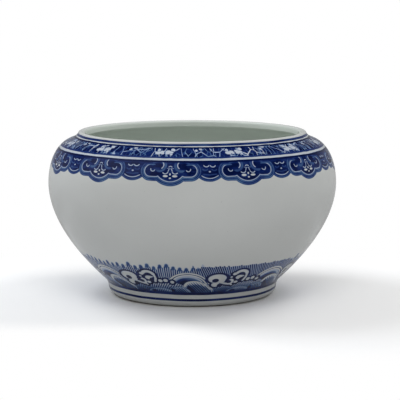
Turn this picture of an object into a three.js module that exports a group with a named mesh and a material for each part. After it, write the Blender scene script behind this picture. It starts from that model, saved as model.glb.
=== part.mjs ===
// A round porcelain bowl for a large plant: a squat belly under an incurved shoulder and a low raised lip,
// on a low turned foot. It is thrown and turned in five sections that are joined one on another with slip,
// each along a level ring, before the whole is glazed and fired.
// Millimetres, +Z up. The origin is on the axis, at the plane that the foot stands on.

import * as THREE from 'three';

// Driving dimensions.
const HEIGHT = 227;
const BELLY_RADIUS = 200;
const BELLY_HEIGHT = 156;
const WALL = 8;
const HOLLOW_RADIUS = BELLY_RADIUS - WALL;

// The four level joints between the sections. The base's upper joint is also the floor inside.
const FOOT_JOINT = 10;
const FLOOR_JOINT = 22;
const BELLY_JOINT = BELLY_HEIGHT;
const NECK_JOINT = 217;

// The foot: a ring with a narrow standing face, rounded out to the waist above it.
const FOOT_STAND_OUTER = 107;
const FOOT_STAND_INNER = 100;
const FOOT_INNER = 96.5;
const FOOT_SIDE = 117.8;

// The base: a flat disc whose edge spreads from the waist into the bowl, and the floor that it leaves inside.
const BASE_OUTER = 122.2;
const FLOOR_RADIUS = 108;

// The neck and the lip.
const NECK_OUTER = 167.2;
const NECK_INNER = 150.5;
const LIP_OUTER = 158.3;
const LIP_OUTER_HEIGHT = HEIGHT - 2.4;
const LIP_CROWN = 154.5;
const LIP_INNER = 149;
const LIP_INNER_TOP = HEIGHT - 3.2;
const LIP_INNER_FOOT = NECK_JOINT + 1.6;

// The turned curves. Each has two handles that pull it, the first where it leaves and the second where it
// arrives, as [radius, height]. The outer ones rise and the inner ones fall.
const FOOT_ROUNDING = [[113, 1], [117, 5]];
const FOOT_HOLLOWING = [[FOOT_INNER, 4], [97.5, 1.2]];
const WAIST = [[118.2, 15], [119.8, 19.2]];
const LOWER_OUTSIDE = [[161, 58], [BELLY_RADIUS, 107.4]];
const LOWER_INSIDE = [[HOLLOW_RADIUS, 112], [152.5, 61]];
const SHOULDER_OUTSIDE = [[BELLY_RADIUS, 181], [191, 210.7]];
const SHOULDER_INSIDE = [[183, 203], [HOLLOW_RADIUS, 180]];
const LIP_RISE = [[164, 218.6], [159.2, 222]];
const LIP_OUTER_ROUNDING = [[157.9, 226.2], [156.5, HEIGHT]];
const LIP_INNER_ROUNDING = [[152, HEIGHT], [149.5, 225.8]];

// How finely the round forms are cut into flat faces.
const SEGMENTS_ROUND = 64;
const STEPS_LONG = 12;
const STEPS_INSIDE = 9;
const STEPS_SHORT = 5;

const GLAZE = { color: 0xcfd3d1, roughness: 0.14, metalness: 0 };
const PAINTED_GLAZE = { color: 0x3c4a78, roughness: 0.14, metalness: 0 };
const INNER_GLAZE = { color: 0xc3c9c4, roughness: 0.18, metalness: 0 };
const FOOT_CLAY = { color: 0xb9b1a4, roughness: 0.6, metalness: 0 };

// A section's outline, radius against height, drawn with straight lines and cubic curves. It runs outward
// along the bottom, up the outside, inward along the top and down the inside.
class Outline {
  constructor(radius, height) {
    this.points = [new THREE.Vector2(radius, height)];
  }

  line(radius, height) {
    this.points.push(new THREE.Vector2(radius, height));
    return this;
  }

  curve(steps, handles, radius, height) {
    const start = this.points[this.points.length - 1];
    const [leaving, arriving] = handles.map(([r, z]) => new THREE.Vector2(r, z));
    const bend = new THREE.CubicBezierCurve(start, leaving, arriving, new THREE.Vector2(radius, height));
    this.points.push(...bend.getPoints(steps).slice(1));
    return this;
  }
}

// Turns an outline about the upright axis. It starts and ends on the axis, or it ends where it starts.
function turned(name, outline, finish) {
  const geometry = new THREE.LatheGeometry(outline.points, SEGMENTS_ROUND);
  geometry.rotateX(Math.PI / 2);
  const mesh = new THREE.Mesh(geometry, new THREE.MeshStandardMaterial(finish));
  mesh.name = name;
  return mesh;
}

function footRing() {
  const outline = new Outline(FOOT_STAND_INNER, 0)
    .line(FOOT_STAND_OUTER, 0)
    .curve(STEPS_SHORT, FOOT_ROUNDING, FOOT_SIDE, FOOT_JOINT)
    .line(FOOT_INNER, FOOT_JOINT)
    .curve(STEPS_SHORT, FOOT_HOLLOWING, FOOT_STAND_INNER, 0);
  return turned('foot_ring', outline, FOOT_CLAY);
}

function baseDisc() {
  const outline = new Outline(0, FOOT_JOINT)
    .line(FOOT_SIDE, FOOT_JOINT)
    .curve(STEPS_SHORT, WAIST, BASE_OUTER, FLOOR_JOINT)
    .line(FLOOR_RADIUS, FLOOR_JOINT)
    .line(0, FLOOR_JOINT);
  return turned('base_disc', outline, GLAZE);
}

function lowerBowl() {
  const outline = new Outline(FLOOR_RADIUS, FLOOR_JOINT)
    .line(BASE_OUTER, FLOOR_JOINT)
    .curve(STEPS_LONG, LOWER_OUTSIDE, BELLY_RADIUS, BELLY_JOINT)
    .line(HOLLOW_RADIUS, BELLY_JOINT)
    .curve(STEPS_INSIDE, LOWER_INSIDE, FLOOR_RADIUS, FLOOR_JOINT);
  return turned('lower_bowl', outline, GLAZE);
}

function upperBowl() {
  const outline = new Outline(HOLLOW_RADIUS, BELLY_JOINT)
    .line(BELLY_RADIUS, BELLY_JOINT)
    .curve(STEPS_LONG, SHOULDER_OUTSIDE, NECK_OUTER, NECK_JOINT)
    .line(NECK_INNER, NECK_JOINT)
    .curve(STEPS_INSIDE, SHOULDER_INSIDE, HOLLOW_RADIUS, BELLY_JOINT);
  return turned('upper_bowl', outline, PAINTED_GLAZE);
}

function mouthRim() {
  const outline = new Outline(NECK_INNER, NECK_JOINT)
    .line(NECK_OUTER, NECK_JOINT)
    .curve(STEPS_SHORT, LIP_RISE, LIP_OUTER, LIP_OUTER_HEIGHT)
    .curve(STEPS_SHORT, LIP_OUTER_ROUNDING, LIP_CROWN, HEIGHT)
    .curve(STEPS_SHORT, LIP_INNER_ROUNDING, LIP_INNER, LIP_INNER_TOP)
    .line(LIP_INNER, LIP_INNER_FOOT)
    .line(NECK_INNER, NECK_JOINT);
  return turned('mouth_rim', outline, INNER_GLAZE);
}

const bowl = new THREE.Group();
bowl.add(footRing(), baseDisc(), lowerBowl(), upperBowl(), mouthRim());

export default bowl;
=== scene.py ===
"""A squat porcelain bowl for a large plant, painted in cobalt blue under a clear glaze.

The bowl is turned in five sections that stand on one another. One long outline runs from the middle of the
recess under the base, across the foot, up the outside, over the lip and down to the middle of the floor
inside, and each section takes its own stretch of it. The length along this outline, counted from the outer
edge of the standing face, also places the painted borders.
"""

import math

import bmesh
import bpy
from bpy.props import FloatProperty, FloatVectorProperty, IntProperty
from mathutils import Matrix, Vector


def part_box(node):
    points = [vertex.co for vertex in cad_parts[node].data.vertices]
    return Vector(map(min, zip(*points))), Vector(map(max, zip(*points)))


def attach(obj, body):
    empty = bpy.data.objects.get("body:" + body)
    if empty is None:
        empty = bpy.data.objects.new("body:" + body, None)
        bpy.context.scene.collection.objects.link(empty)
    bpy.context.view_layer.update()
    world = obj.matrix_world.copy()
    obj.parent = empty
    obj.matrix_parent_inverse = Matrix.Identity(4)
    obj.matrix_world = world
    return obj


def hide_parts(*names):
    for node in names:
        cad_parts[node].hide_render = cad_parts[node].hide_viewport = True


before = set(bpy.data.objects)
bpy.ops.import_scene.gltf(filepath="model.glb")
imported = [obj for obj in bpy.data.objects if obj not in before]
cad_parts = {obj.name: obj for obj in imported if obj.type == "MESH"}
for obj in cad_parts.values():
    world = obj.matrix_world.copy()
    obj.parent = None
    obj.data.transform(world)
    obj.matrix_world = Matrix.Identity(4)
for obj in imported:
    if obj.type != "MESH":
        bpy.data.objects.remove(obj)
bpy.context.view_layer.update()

bl_info = {
    "name": "Painted Porcelain Planter",
    "version": (1, 0, 0),
    "blender": (4, 5, 0),
    "location": "View3D > Sidebar > Planter",
    "description": "Turns and paints a blue and white porcelain planter, and sets it on a pale floor",
    "category": "Add Mesh",
}

MM = 0.001
WHITE = (1.0, 1.0, 1.0, 1.0)

# Heights and radii that the frame gives, in metres.
FOOT_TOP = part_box("foot_ring")[1].z
FLOOR_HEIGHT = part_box("base_disc")[1].z
BELLY_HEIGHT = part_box("lower_bowl")[1].z
NECK_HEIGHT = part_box("upper_bowl")[1].z
RIM_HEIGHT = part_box("mouth_rim")[1].z
FOOT_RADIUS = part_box("foot_ring")[1].x
WAIST_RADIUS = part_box("base_disc")[1].x
BELLY_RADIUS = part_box("lower_bowl")[1].x
NECK_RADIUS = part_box("mouth_rim")[1].x

# The rest of the outline, as (radius, height) in metres. A curve has two handles: the first pulls it where
# it leaves and the second where it arrives.
RECESS_EDGE = (0.0965, FOOT_TOP)
STAND_INNER = (0.100, 0.0)
STAND_OUTER = (0.107, 0.0)
FLOOR_EDGE = (0.108, FLOOR_HEIGHT)
NECK_INSIDE = (0.1505, NECK_HEIGHT)
LIP_OUTSIDE = (0.1583, RIM_HEIGHT - 0.0024)
LIP_CROWN = (0.1545, RIM_HEIGHT)
LIP_INSIDE = (0.149, RIM_HEIGHT - 0.0032)
LIP_FOOT = (0.149, NECK_HEIGHT + 0.0016)
FOOT_HOLLOW = ((0.0965, 0.004), (0.0975, 0.0012))
FOOT_ROUNDING = ((0.113, 0.001), (0.117, 0.005))
WAIST_CURVE = ((0.1182, 0.015), (0.1198, 0.0192))
LOWER_OUTSIDE = ((0.161, 0.058), (BELLY_RADIUS, 0.1074))
SHOULDER_OUTSIDE = ((BELLY_RADIUS, 0.181), (0.191, 0.2107))
LIP_RISE = ((0.164, 0.2186), (0.1592, 0.222))
CROWN_OUTSIDE = ((0.1579, 0.2262), (0.1565, RIM_HEIGHT))
CROWN_INSIDE = ((0.152, RIM_HEIGHT), (0.1495, 0.2258))
NECK_PULL = (0.183, 0.203)
BELLY_PULL_OVER = 0.180
BELLY_PULL_UNDER = 0.112
FLOOR_PULL = (0.1525, 0.061)
SHARP_CORNER = math.radians(30)
TOUCHING = 1e-6

# Where each painted border lies along the outline, in millimetres from the standing face's outer edge.
CLAY_LINE = 5.6
LOWER_RULE = (15.0, 18.2)
UPPER_RULE = (24.3, 27.2)
WATER_LINE = 31.0
COLLAR_TOP = 241.3
WHITE_RULE_TOP = 244.6
GROUND_TOP = 269.3
LIP_RULE = (270.8, 274.2)

# The repeats of each motif round the bowl, the width of one in millimetres, and how many degrees round from
# the front its middle lies.
LAPPETS, LAPPET_WIDTH, LAPPET_TURN = 12, 102.1, -8.35
BLOSSOMS, BLOSSOM_WIDTH, BLOSSOM_TURN = 12, 91.6, -12.0
WAVES, WAVE_WIDTH, WAVE_TURN = 7, 134.6, -1.57

# The lappets: the middle and radius of each size, and how wide their striped borders are, in millimetres.
SMALL_LAPPET = (LAPPET_WIDTH / 2, 235.2)
SMALL_RADIUS = 18.1
SMALL_BORDER = 4.3
LARGE_LAPPET = (0, 233.9)
LARGE_RADIUS = 21.2
LARGE_BORDER = 5.7

# The cracked ice is drawn on an upright drum of this radius, in metres, where its cells are taller than wide.
ICE_RADIUS = 0.172
ICE_RISE = 0.45 * MM

# A wave's repeat begins so many millimetres from its middle. The repeats are drawn towards the front by up
# to this angle, in radians.
WAVE_START = -31.0
WAVE_CROWDING = 0.055

# The waves, each an oval given as its middle and its radii in millimetres, and the dark eyes of the swells.
CREST = ((-2, 45), (33, 29.5))
INNER_WAVE = ((7, 26), (27, 31.5))
LEFT_SWELL = ((-17, 20), (21.5, 24))
LEFT_EYE = (-29.5, 34)
RIGHT_SWELL = ((84.7, 22), (26, 17.5))
RIGHT_EYE = (73.2, 30)
EYE_RADII = (5.0, 4.2)
HATCH_COUNT = 0.3

# The spray: the strokes and the tufts round the bowl, the width of a tuft and the level about which the
# strokes lean, both in millimetres.
SPRAY_STROKES = 340
SPRAY_TUFTS = 112
TUFT_WIDTH = 8.8
SPRAY_MIDDLE = 75.0

# The glaze: how far clouds and pits darken it, over how many millimetres it takes on the greener tint inside
# (painted colour that stands in for light bounced round in the bowl), and how rough it is. The clay: how
# rough it is and how far under the foot it reaches. Then the relief of both.
CLOUD_SHADE = 0.955
PIT_SHADE = 0.82
PAINTED_BOUNCE_BLEND = 6.0
GLAZE_ROUGHNESS = (0.11, 0.17)
CLAY_ROUGHNESS = 0.78
CLAY_FOOT = -9.5
RELIEF_STRENGTH = 0.35
RELIEF_HEIGHT = 0.0006


def curve(start, handles, end, steps):
    """The points of a cubic curve after its start, down to and with its end."""
    corners = [Vector(corner) for corner in (start, *handles, end)]
    points = []
    for step in range(1, steps + 1):
        t = step / steps
        weights = ((1 - t) ** 3, 3 * (1 - t) ** 2 * t, 3 * (1 - t) * t ** 2, t ** 3)
        points.append(sum((corner * weight for corner, weight in zip(corners, weights)), Vector((0, 0))))
    return points


def line(start, end, steps):
    """The points of a straight run after its start, down to and with its end."""
    return [Vector(start).lerp(Vector(end), step / steps) for step in range(1, steps + 1)]


class Outline:
    """The bowl's whole outline as points of (radius, height), with the length along it and named corners.

    Each run's last number is how many straight steps it takes.
    """

    def __init__(self, sizes):
        """Draws the outline from the middle of the recess under the base to the middle of the floor."""
        inner_belly = (BELLY_RADIUS - sizes.wall, BELLY_HEIGHT)
        lower_inside = ((inner_belly[0], BELLY_PULL_UNDER), FLOOR_PULL)
        shoulder_inside = (NECK_PULL, (inner_belly[0], BELLY_PULL_OVER))
        self.points = [Vector((0, FOOT_TOP))]
        self.marks = {"recess_middle": 0}
        self.add("recess_edge", line(self.points[-1], RECESS_EDGE, 6))
        self.add("stand_inner", curve(RECESS_EDGE, FOOT_HOLLOW, STAND_INNER, 8))
        self.add("stand_outer", line(STAND_INNER, STAND_OUTER, 3))
        self.add("foot_top", curve(STAND_OUTER, FOOT_ROUNDING, (FOOT_RADIUS, FOOT_TOP), 14))
        self.add("waist", curve(self.points[-1], WAIST_CURVE, (WAIST_RADIUS, FLOOR_HEIGHT), 10))
        self.add("belly", curve(self.points[-1], LOWER_OUTSIDE, (BELLY_RADIUS, BELLY_HEIGHT), 40))
        self.add("neck", curve(self.points[-1], SHOULDER_OUTSIDE, (NECK_RADIUS, NECK_HEIGHT), 30))
        self.add("lip_outside", curve(self.points[-1], LIP_RISE, LIP_OUTSIDE, 12))
        self.add("lip_crown", curve(LIP_OUTSIDE, CROWN_OUTSIDE, LIP_CROWN, 8))
        self.add("lip_inside", curve(LIP_CROWN, CROWN_INSIDE, LIP_INSIDE, 8))
        self.add("lip_foot", line(LIP_INSIDE, LIP_FOOT, 3))
        self.add("neck_inside", line(LIP_FOOT, NECK_INSIDE, 2))
        self.add("belly_inside", curve(NECK_INSIDE, shoulder_inside, inner_belly, 24))
        self.add("floor_edge", curve(inner_belly, lower_inside, FLOOR_EDGE, 30))
        self.add("floor_middle", line(FLOOR_EDGE, (0, FLOOR_HEIGHT), 8))
        self.measure()

    def add(self, mark, points):
        """Adds a run of points and names the last one."""
        self.points += points
        self.marks[mark] = len(self.points) - 1

    def measure(self):
        """Works out the length along the outline, which is 0 at the standing face's outer edge."""
        lengths = [0.0]
        for here, there in zip(self.points, self.points[1:]):
            lengths.append(lengths[-1] + (there - here).length)
        zero = lengths[self.marks["stand_outer"]]
        self.lengths = [length - zero for length in lengths]

    def normal(self, index, side):
        """The outward normal at a point, for the run that arrives (side -1) or leaves (side 1) there."""
        runs = []
        for step in (-1, 1):
            other = index + step
            if 0 <= other < len(self.points):
                along = (self.points[other] - self.points[index]) * step
                runs.append((step, Vector((along.y, -along.x)).normalized()))
        own = next(normal for step, normal in runs if step == side)
        if all(own.angle(normal) < SHARP_CORNER for _, normal in runs):
            return sum((normal for _, normal in runs), Vector((0, 0))).normalized()
        return own


# ---------------------------------------------------------------- turning the sections

def select_nothing():
    """Deselects every object, so that an operator acts only on the new one."""
    if bpy.context.object and bpy.context.object.mode != "OBJECT":
        bpy.ops.object.mode_set(mode="OBJECT")
    bpy.ops.object.select_all(action="DESELECT")


class Section:
    """A section of the bowl: the runs of the outline that show on it, joined by hidden level faces."""

    def __init__(self, outline, *runs):
        """Gathers the points of the runs, each given as its first and last mark."""
        self.outline = outline
        self.members = []
        for first, last in runs:
            self.members += range(outline.marks[first], outline.marks[last] + 1)

    def spin(self, name, segments):
        """Bends a ring of points to the section's outline and spins it about the upright axis."""
        select_nothing()
        count = len(self.members)
        bpy.ops.mesh.primitive_circle_add(vertices=count, radius=BELLY_RADIUS, location=(0, 0, 0))
        piece = bpy.context.object
        piece.name = piece.data.name = name
        bpy.ops.object.mode_set(mode="EDIT")
        mesh = bmesh.from_edit_mesh(piece.data)
        place = mesh.verts.layers.float.new("outline_place")
        mesh.verts.ensure_lookup_table()
        for order, member in enumerate(self.members):
            radius, height = self.outline.points[member]
            mesh.verts[order].co = (0, -radius, height)
            mesh.verts[order][place] = order
        bmesh.update_edit_mesh(piece.data)
        bpy.ops.mesh.select_all(action="SELECT")
        bpy.ops.mesh.spin(steps=segments, angle=math.tau, center=(0, 0, 0), axis=(0, 0, 1))
        bpy.ops.mesh.select_all(action="SELECT")
        bpy.ops.mesh.remove_doubles(threshold=TOUCHING)
        bpy.ops.mesh.delete_loose(use_verts=True, use_edges=True, use_faces=False)
        bpy.ops.mesh.select_all(action="SELECT")
        bpy.ops.mesh.normals_make_consistent(inside=False)
        bpy.ops.object.mode_set(mode="OBJECT")
        bpy.ops.object.shade_smooth()
        return piece

    def finish(self, piece, bands, discs=()):
        """Gives the section its smooth normals, its painting map and its flat lay-out."""
        mesh = piece.data
        places = [round(item.value) for item in mesh.attributes["outline_place"].data]
        for name in ("Painting", "OFBake"):
            mesh.uv_layers.new(name=name)
        painting, flat = mesh.uv_layers["Painting"], mesh.uv_layers["OFBake"]
        normals = [(0, 0, 0)] * len(mesh.loops)
        last = len(self.members) - 1
        layout = Layout(self.outline, bands, discs)
        for face in mesh.polygons:
            steps = sorted({places[vertex] for vertex in face.vertices})
            low, high = steps[0], steps[-1]
            closing = low == 0 and high == last
            members = (self.members[low], self.members[high])
            shows = not closing and members[1] - members[0] == 1
            turn_here = turn_of(face.center)
            for corner in face.loop_indices:
                vertex = mesh.loops[corner].vertex_index
                spot = mesh.vertices[vertex].co
                member = self.members[places[vertex]]
                turn = nearest_turn(spot, turn_here)
                painting.data[corner].uv = (turn, self.outline.lengths[member])
                flat.data[corner].uv = layout.spot(member, members, spot, turn, turn_here, shows)
                if shows:
                    side = 1 if member == members[0] else -1
                    out, up = self.outline.normal(member, side)
                    angle = (turn_here if spot.xy.length < TOUCHING else turn) * math.tau
                    normals[corner] = (out * math.sin(angle), -out * math.cos(angle), up)
                else:
                    normals[corner] = tuple(face.normal)
        mesh.normals_split_custom_set(normals)
        mesh.attributes.remove(mesh.attributes["outline_place"])
        mesh.uv_layers.active = mesh.uv_layers["Painting"]
        mesh.uv_layers["Painting"].active_render = True
        return piece


def turn_of(spot):
    """How far round a place is, in turns from the front towards +X."""
    return (math.atan2(spot.x, -spot.y) / math.tau) % 1.0


def nearest_turn(spot, beside):
    """The turn of a place, on the same side of the back seam as another."""
    if spot.xy.length < TOUCHING:
        return beside
    turn = turn_of(spot)
    return turn + round(beside - turn)


class Layout:
    """Lays a section out flat: bands of the outline, cut into strips and stacked, with discs over them."""

    MARGIN = 0.004
    HIDDEN_CORNER = 0.03

    def __init__(self, outline, bands, discs):
        """Takes bands of (first mark, last mark, strips, share of height) and discs of (mark, mark)."""
        self.outline = outline
        self.bands = []
        base = 0.0
        for first, last, strips, share in bands:
            low, high = outline.marks[first], outline.marks[last]
            self.bands.append((low, high, strips, base, share / strips))
            base += share
        self.discs = [(outline.marks[first], outline.marks[last], base, 1 - base) for first, last in discs]

    def spot(self, member, members, spot, turn, turn_here, shows):
        """Where a corner of a face lies on the flat map."""
        if not shows:
            return self.hidden_spot(spot)
        for order, (low, high, base, side) in enumerate(self.discs):
            if low <= members[0] and members[1] <= high:
                reach = max(self.outline.points[low].x, self.outline.points[high].x)
                scale = (side / 2 - self.MARGIN) / reach
                centre = (side * (order + 0.5), base + side / 2)
                return centre[0] + spot.x * scale, centre[1] + spot.y * scale
        for low, high, strips, base, tall in self.bands:
            if low <= members[0] and members[1] <= high:
                strip = math.floor(turn_here * strips)
                across = turn * strips - strip
                lengths = self.outline.lengths
                up = (lengths[member] - lengths[low]) / (lengths[high] - lengths[low])
                tall_inside = tall - 2 * self.MARGIN
                return (self.MARGIN + across * (1 - 2 * self.MARGIN),
                        base + strip * tall + self.MARGIN + up * tall_inside)
        raise RuntimeError(f"no band of the lay-out holds the outline's points {members}")

    def hidden_spot(self, spot):
        """A face inside a joint is never seen and lies in the small corner at the top right."""
        half = self.HIDDEN_CORNER / 2
        scale = half / BELLY_RADIUS
        return 1 - half + spot.x * scale, 1 - half + spot.y * scale


# ---------------------------------------------------------------- drawing with shader nodes

class Sheet:
    """Draws with nodes in one node tree. Each method adds nodes and gives back the socket to go on from.

    Points are (across, rise) in millimetres. A shape is the distance to its edge, below 0 inside it.
    """

    COLUMN, ROW, COLUMNS = 190, 240, 14
    # A curved stroke thins over this share of its reach, to a half width below 0, where it has closed.
    TAPER = 0.45
    CLOSED = -0.6

    def __init__(self, tree):
        """Starts on a tree, whose nodes are placed in rows as they come."""
        self.tree = tree
        self.count = 0

    def node(self, kind, **settings):
        """Adds a node with its settings."""
        node = self.tree.nodes.new(kind)
        row, column = divmod(self.count, self.COLUMNS)
        node.location = (column * self.COLUMN, -row * self.ROW)
        self.count += 1
        for name, value in settings.items():
            setattr(node, name, value)
        return node

    def feed(self, node, *values, **named):
        """Links sockets to a node's inputs, or sets them to plain values."""
        for key, value in list(enumerate(values)) + list(named.items()):
            socket = node.inputs[key.replace("_", " ") if isinstance(key, str) else key]
            if isinstance(value, bpy.types.NodeSocket):
                self.tree.links.new(value, socket)
            elif value is not None:
                socket.default_value = value
        return node

    def math(self, operation, *values, clamp=False):
        """One sum on plain numbers."""
        node = self.node("ShaderNodeMath", operation=operation, use_clamp=clamp)
        return self.feed(node, *values).outputs[0]

    def vector(self, operation, *values):
        """One sum on vectors. The result may be a vector or a number."""
        node = self.feed(self.node("ShaderNodeVectorMath", operation=operation), *values)
        return node.outputs["Value" if operation in ("LENGTH", "DISTANCE", "DOT_PRODUCT") else "Vector"]

    def point(self, across, rise):
        """A point on the painted surface."""
        return self.feed(self.node("ShaderNodeCombineXYZ"), across, rise).outputs[0]

    def remap(self, value, low, high, to_low, to_high, smooth=False):
        """Stretches one range over another and stops at its ends."""
        node = self.node("ShaderNodeMapRange", interpolation_type="SMOOTHSTEP" if smooth else "LINEAR")
        return self.feed(node, value, low, high, to_low, to_high).outputs[0]

    def noise(self, place, scale, detail=2.0, roughness=0.5):
        """Soft random variation round 0.5."""
        node = self.node("ShaderNodeTexNoise")
        return self.feed(node, Vector=place, Scale=scale, Detail=detail, Roughness=roughness).outputs[0]

    def wander(self, value, place, scale, reach, detail=2.0):
        """Moves a value by soft noise, up to the reach either way."""
        shift = self.math("MULTIPLY_ADD", self.noise(place, scale, detail), 2 * reach, -reach)
        return self.math("ADD", value, shift)

    def oval(self, point, centre, radii):
        """An oval, upright or lying."""
        (x, y), (wide, tall) = centre, radii
        scaled = self.vector("MULTIPLY_ADD", point, (1 / wide, 1 / tall, 0), (-x / wide, -y / tall, 0))
        least = min(radii)
        return self.math("MULTIPLY_ADD", self.vector("LENGTH", scaled), least, -least)

    def arc(self, point, centre, radius, half_width, facing, reach):
        """A stroke along a circle, thinning at its ends. It faces an angle and reaches so far each way."""
        local = self.vector("SUBTRACT", point, (*centre, 0))
        length = self.vector("LENGTH", local)
        way = math.radians(facing)
        along = self.vector("DOT_PRODUCT", local, (math.cos(way), math.sin(way), 0))
        end = math.cos(math.radians(reach))
        full = end + (1 - end) * self.TAPER
        width = self.remap(self.math("DIVIDE", along, length), end, full, self.CLOSED, half_width)
        ring = self.math("ABSOLUTE", self.math("SUBTRACT", length, radius))
        return self.math("SUBTRACT", ring, width)

    def stroke(self, point, start, end, half_width):
        """A straight brush stroke with round ends."""
        run = (end[0] - start[0], end[1] - start[1], 0)
        local = self.vector("SUBTRACT", point, (*start, 0))
        square = run[0] ** 2 + run[1] ** 2
        part = self.vector("DOT_PRODUCT", local, (run[0] / square, run[1] / square, 0))
        part = self.math("ADD", part, 0.0, clamp=True)
        near = self.node("ShaderNodeVectorMath", operation="SCALE")
        self.feed(near, run, Scale=part)
        return self.math("SUBTRACT", self.vector("DISTANCE", local, near.outputs[0]), half_width)

    def union(self, point, *shapes):
        """The shapes together. Each is given as the name of the method that draws it, and its numbers."""
        joined = None
        for kind, *numbers in shapes:
            shape = getattr(self, kind)(point, *numbers)
            joined = shape if joined is None else self.math("MINIMUM", joined, shape)
        return joined

    def mask(self, distance, softness=0.35):
        """1 inside a shape and 0 outside, with a soft edge."""
        return self.remap(distance, -softness, softness, 1.0, 0.0, smooth=True)

    def between(self, value, low, high, softness=0.3):
        """1 between two values and 0 beyond them, with soft edges."""
        middle, half = (low + high) / 2, (high - low) / 2
        off = self.math("ABSOLUTE", self.math("SUBTRACT", value, middle))
        return self.remap(off, half - softness, half + softness, 1.0, 0.0, smooth=True)

    def over(self, under, paint, mask):
        """Lays a depth of ink over what is there, where the mask is 1."""
        node = self.node("ShaderNodeMix", data_type="FLOAT")
        return self.feed(node, mask, None, under, paint).outputs[0]

    def colour_over(self, under, paint, mask):
        """Lays a colour over what is there, where the mask is 1."""
        node = self.node("ShaderNodeMix", data_type="RGBA")
        unused = [None] * 5
        return self.feed(node, mask, *unused, under, paint).outputs[2]

    def ramp(self, value, stops):
        """Runs a value through stops of (place, tone)."""
        node = self.node("ShaderNodeValToRGB")
        fill_ramp(node, [(place, (tone, tone, tone)) for place, tone in stops])
        return self.feed(node, value).outputs[0]


def fill_ramp(node, stops):
    """Sets a colour ramp's stops, given as (place, colour)."""
    elements = node.color_ramp.elements
    while len(elements) < len(stops):
        elements.new(0.5)
    for element, (place, colour) in zip(elements, stops):
        element.position = place
        element.color = (*colour, 1.0)


def new_group(name, takes, gives):
    """A shader node group with named sockets. Returns its tree and a sheet to draw on."""
    tree = bpy.data.node_groups.new(name, "ShaderNodeTree")
    kinds = {"number": "NodeSocketFloat", "vector": "NodeSocketVector", "colour": "NodeSocketColor"}
    for socket, kind in takes:
        tree.interface.new_socket(name=socket, in_out="INPUT", socket_type=kinds[kind])
    for socket, kind in gives:
        tree.interface.new_socket(name=socket, in_out="OUTPUT", socket_type=kinds[kind])
    sheet = Sheet(tree)
    return tree, sheet, sheet.node("NodeGroupInput")


def close_group(sheet, **results):
    """Feeds a group's outputs."""
    sheet.feed(sheet.node("NodeGroupOutput"), **results)


SURFACE_SOCKETS = (("Rise", "number"), ("Place", "vector"))
PLACE_SOCKETS = (("Turns", "number"), *SURFACE_SOCKETS)
INK_SOCKET = (("Ink", "number"),)
FINISH_SOCKETS = (("Colour", "colour"), ("Roughness", "number"), ("Height", "number"))

# How deep the cobalt lies, from bare glaze to the deepest blue.
BARE, FAINT, PALE, WASH, BLUE, DEEP, NAVY = 0.0, 0.08, 0.2, 0.42, 0.62, 0.8, 1.0


def wrapped(sheet, turns, repeats, width, turned, start):
    """The place across one repeat, in millimetres from the motif's middle. The repeat begins at start."""
    shifted = sheet.math("MULTIPLY_ADD", turns, repeats, -turned * repeats / 360 - start / width)
    part = sheet.math("FRACT", sheet.math("ADD", shifted, 2 * repeats))
    return sheet.math("MULTIPLY_ADD", part, width, start)


def make_rules():
    """The ruled lines and plain grounds of the foot and the lip."""
    tree, sheet, given = new_group("Ruled lines", SURFACE_SOCKETS, INK_SOCKET)
    place = given.outputs["Place"]
    rise = sheet.wander(given.outputs["Rise"], place, 18.0, 0.8)
    load = sheet.remap(sheet.noise(place, 30.0), 0.3, 0.7, BLUE + 0.08, NAVY)
    ink = sheet.math("MULTIPLY", sheet.between(rise, *LOWER_RULE), load)
    ink = sheet.over(ink, load, sheet.between(rise, UPPER_RULE[0], WATER_LINE))
    load = sheet.remap(sheet.noise(place, 40.0), 0.3, 0.7, BLUE - 0.05, DEEP + 0.1)
    ink = sheet.over(ink, load, sheet.between(rise, *LIP_RULE))
    close_group(sheet, Ink=ink)
    return tree


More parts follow.
